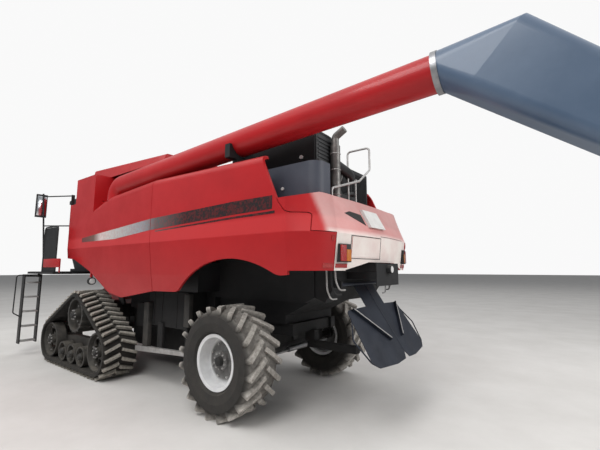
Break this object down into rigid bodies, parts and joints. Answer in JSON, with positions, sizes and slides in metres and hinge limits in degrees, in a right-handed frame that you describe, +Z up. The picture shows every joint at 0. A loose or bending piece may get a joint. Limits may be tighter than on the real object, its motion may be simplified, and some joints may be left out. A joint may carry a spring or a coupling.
{
  "type": "tracked combine harvester",
  "caption": "Tracked combine harvester with a cab, grain tank, folded unloading tube, feeder house and steered rear wheels, with no header fitted.",
  "frame": {"origin": "ground level under the middle of the machine's length and width", "axes": "+X forward, +Y to the machine's left, +Z up"},
  "size_m": [11.3922, 4.0326, 4.31],
  "materials": {
    "red_paint": "gloss",
    "black_paint": "satin",
    "slate_paint": "satin",
    "belt_rubber": "dusty",
    "tyre_rubber": "dusty",
    "rim_paint": "satin",
    "bare_steel": "brushed",
    "clear_glass": "clear",
    "mirror_head": "matte",
    "boot_rubber": "satin",
    "exhaust_steel": "polished",
    "seat_cloth": "woven",
    "lamp_lens": "clear"
  },
  "bodies": {
    "root": {"auger_cradle": "black_paint", "auger_turret": "red_paint", "cab_glass": "clear_glass", "cab_shell": "black_paint", "chassis_frame": "black_paint", "cleaning_shoe": "black_paint", "cooling_box": "black_paint", "drive_sprockets": "black_paint", "engine_block": "black_paint", "engine_cover": "slate_paint", "engine_deck": "black_paint", "exhaust_stack": "exhaust_steel", "front_axle": "black_paint", "front_panels": "red_paint", "fuel_tank": "black_paint", "grain_tank": "red_paint", "handrails": "slate_paint", "intake_housing": "black_paint", "mirrors": "mirror_head", "operator_seat": "seat_cloth", "platform": "black_paint", "rear_axle": "black_paint", "rear_hood": "red_paint", "separator_body": "black_paint", "steering_console": "mirror_head", "straw_hood": "black_paint", "tail_lamps": "lamp_lens", "track_belt_left": "belt_rubber", "track_belt_right": "belt_rubber", "track_frames": "black_paint", "track_wheels": "black_paint", "work_lamps": "lamp_lens"},
    "left_knuckle": {"knuckle_left": "black_paint"},
    "right_knuckle": {"knuckle_right": "black_paint"},
    "left_wheel": {"rim_left": "rim_paint", "tyre_left": "tyre_rubber"},
    "right_wheel": {"rim_right": "rim_paint", "tyre_right": "tyre_rubber"},
    "steering_link": {"steering_rod": "bare_steel"},
    "feeder": {"feeder_house": "red_paint", "feeder_chain": "bare_steel"},
    "lift_cylinders": {"lift_barrels": "black_paint"},
    "lift_pistons": {"lift_rods": "bare_steel"},
    "door": {"cab_door": "black_paint", "door_glass": "clear_glass"},
    "access_ladder": {"ladder": "black_paint"},
    "unloader": {"auger_tube": "red_paint", "auger_ring": "bare_steel", "auger_spout": "boot_rubber"},
    "left_cover": {"tank_cover_left": "red_paint"},
    "right_cover": {"tank_cover_right": "red_paint"},
    "left_shield": {"side_shield_left": "red_paint"},
    "right_shield": {"side_shield_right": "red_paint"},
    "chute": {"straw_chute": "black_paint"},
    "screen": {"air_screen": "black_paint"}
  },
  "joints": [
    {"name": "steer_left", "type": "hinge", "parent": "root", "child": "left_knuckle", "pos_m": [-1.10389, 0.93, 0.74], "axis": [0, 0, 1], "range_deg": [-25, 25]},
    {"name": "steer_right", "type": "hinge", "parent": "root", "child": "right_knuckle", "pos_m": [-1.10389, -0.93, 0.74], "axis": [0, 0, 1], "range_deg": [-25, 25]},
    {"name": "steering_link_slide", "type": "slide", "parent": "root", "child": "steering_link", "axis": [0, 1, 0], "range_m": [-0.1079, 0.1079]},
    {"name": "wheel_left_spin", "type": "hinge", "parent": "left_knuckle", "child": "left_wheel", "pos_m": [-1.10389, 1.29, 0.74], "axis": [0, 1, 0], "continuous": true},
    {"name": "wheel_right_spin", "type": "hinge", "parent": "right_knuckle", "child": "right_wheel", "pos_m": [-1.10389, -1.29, 0.74], "axis": [0, 1, 0], "continuous": true},
    {"name": "feeder_lift", "type": "hinge", "parent": "root", "child": "feeder", "pos_m": [3.19611, 0, 1.55], "axis": [0, -1, 0], "range_deg": [0, 21]},
    {"name": "lift_cylinder_tilt", "type": "hinge", "parent": "root", "child": "lift_cylinders", "pos_m": [3.12611, 0, 0.7], "axis": [0, -1, 0], "range_deg": [0, 17.84]},
    {"name": "lift_piston_slide", "type": "slide", "parent": "lift_cylinders", "child": "lift_pistons", "axis": [0.9998, 0, 0.0205], "range_m": [0, 0.3028]},
    {"name": "unloader_swing", "type": "hinge", "parent": "root", "child": "unloader", "pos_m": [2.15611, 1.381, 3.335], "axis": [0, 0, -1], "range_deg": [0, 100]},
    {"name": "door_swing", "type": "hinge", "parent": "root", "child": "door", "pos_m": [4.01211, 0.968, 2.9], "axis": [0, 0, 1], "range_deg": [0, 55]},
    {"name": "ladder_swing", "type": "hinge", "parent": "root", "child": "access_ladder", "pos_m": [5.15611, 1.7, 1.835], "axis": [0, 0, 1], "range_deg": [0, 90]},
    {"name": "cover_left_fold", "type": "hinge", "parent": "root", "child": "left_cover", "pos_m": [2.21111, 1.29, 3.96], "axis": [-1, 0, 0], "range_deg": [0, 85]},
    {"name": "cover_right_fold", "type": "hinge", "parent": "root", "child": "right_cover", "pos_m": [2.21111, -1.29, 3.96], "axis": [1, 0, 0], "range_deg": [0, 85]},
    {"name": "shield_left_lift", "type": "hinge", "parent": "root", "child": "left_shield", "pos_m": [-0.80389, 1.48, 3.395], "axis": [1, 0, 0], "range_deg": [0, 70]},
    {"name": "shield_right_lift", "type": "hinge", "parent": "root", "child": "right_shield", "pos_m": [-0.80389, -1.48, 3.395], "axis": [-1, 0, 0], "range_deg": [0, 70]},
    {"name": "chute_swing", "type": "hinge", "parent": "root", "child": "chute", "pos_m": [-2.57389, 0, 1.78], "axis": [0, 1, 0], "range_deg": [-20, 45]},
    {"name": "screen_spin", "type": "hinge", "parent": "root", "child": "screen", "pos_m": [-1.40389, -1.33, 3.35], "axis": [0, 1, 0], "continuous": true}
  ],
  "couplings": [
    {"joint": "steer_right", "follows": "steer_left", "ratio": 1},
    {"joint": "steering_link_slide", "follows": "steer_left", "m_per_rad": -0.245},
    {"joint": "lift_cylinder_tilt", "follows": "feeder_lift", "ratio": 0.83976},
    {"joint": "lift_piston_slide", "follows": "feeder_lift", "m_per_rad": 0.82071}
  ]
}
